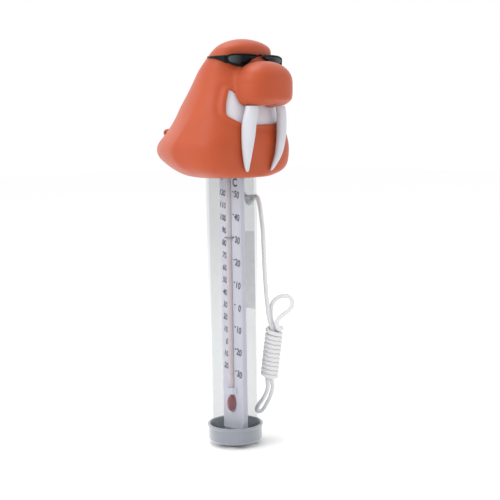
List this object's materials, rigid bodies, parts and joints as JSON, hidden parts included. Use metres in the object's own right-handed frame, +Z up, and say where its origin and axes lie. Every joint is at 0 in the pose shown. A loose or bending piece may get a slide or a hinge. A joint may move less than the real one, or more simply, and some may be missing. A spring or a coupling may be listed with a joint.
{
  "type": "floating pool thermometer",
  "caption": "Upright floating water thermometer: clear tube with a scale, a hollow animal head as the float, a slotted end cap and a wound tether cord.",
  "frame": {"origin": "middle of the end cap's underside, on the tube's axis, at the surface it stands on", "axes": "+Z up along the tube towards the head, -Y the way the walrus faces, +X towards the walrus's left"},
  "size_m": [0.0692, 0.0961, 0.2309],
  "materials": {
    "orange_vinyl": "satin soft vinyl",
    "white_paint": "smooth white paint",
    "black_gloss": "gloss black",
    "lens_gloss": "mirror-smooth dark gloss",
    "collar_plastic": "plain moulded",
    "seal_rubber": "matt rubber",
    "clear_plastic": "clear and glossy",
    "grey_plastic": "satin moulded",
    "plate_white": "printed satin white",
    "clear_glass": "clear drawn glass",
    "red_spirit": "dyed spirit behind glass",
    "clip_steel": "dull wire",
    "label_grey": "thin matt film",
    "cord_white": "braided"
  },
  "bodies": {
    "tube": {"clear_tube": "clear_plastic", "tube_top_plug": "collar_plastic", "scale_plate": "plate_white", "glass_stem": "clear_glass", "stem_tip": "clear_glass", "glass_bulb": "red_spirit", "upper_clip": "clip_steel", "neck_saddle": "plate_white", "rear_label": "label_grey", "tether_loop": "cord_white", "tether_knot": "cord_white", "tether_cord": "cord_white", "tether_hank": "cord_white", "tether_top_bight": "cord_white", "tether_bottom_bight": "cord_white"},
    "float_head": {"head_shell": "orange_vinyl", "left_tusk": "white_paint", "right_tusk": "white_paint", "mouth_plate": "white_paint", "sunglasses_frame": "black_gloss", "left_lens": "lens_gloss", "right_lens": "lens_gloss", "neck_collar": "collar_plastic", "neck_seal_ring": "seal_rubber"},
    "bottom_cap": {"end_cap": "grey_plastic"},
    "spirit": {"spirit_column": "red_spirit"}
  },
  "joints": [
    {"name": "head_turn", "type": "hinge", "parent": "tube", "child": "float_head", "pos_m": [0, 0, 0.169], "axis": [0, 0, 1], "continuous": true},
    {"name": "end_cap_pull", "type": "slide", "parent": "tube", "child": "bottom_cap", "axis": [0, 0, -1], "range_m": [0, 0.015]},
    {"name": "spirit_rise", "type": "slide", "parent": "tube", "child": "spirit", "axis": [0, 0, 1], "range_m": [-0.067, 0.036], "deforming": ["spirit_column"]}
  ]
}
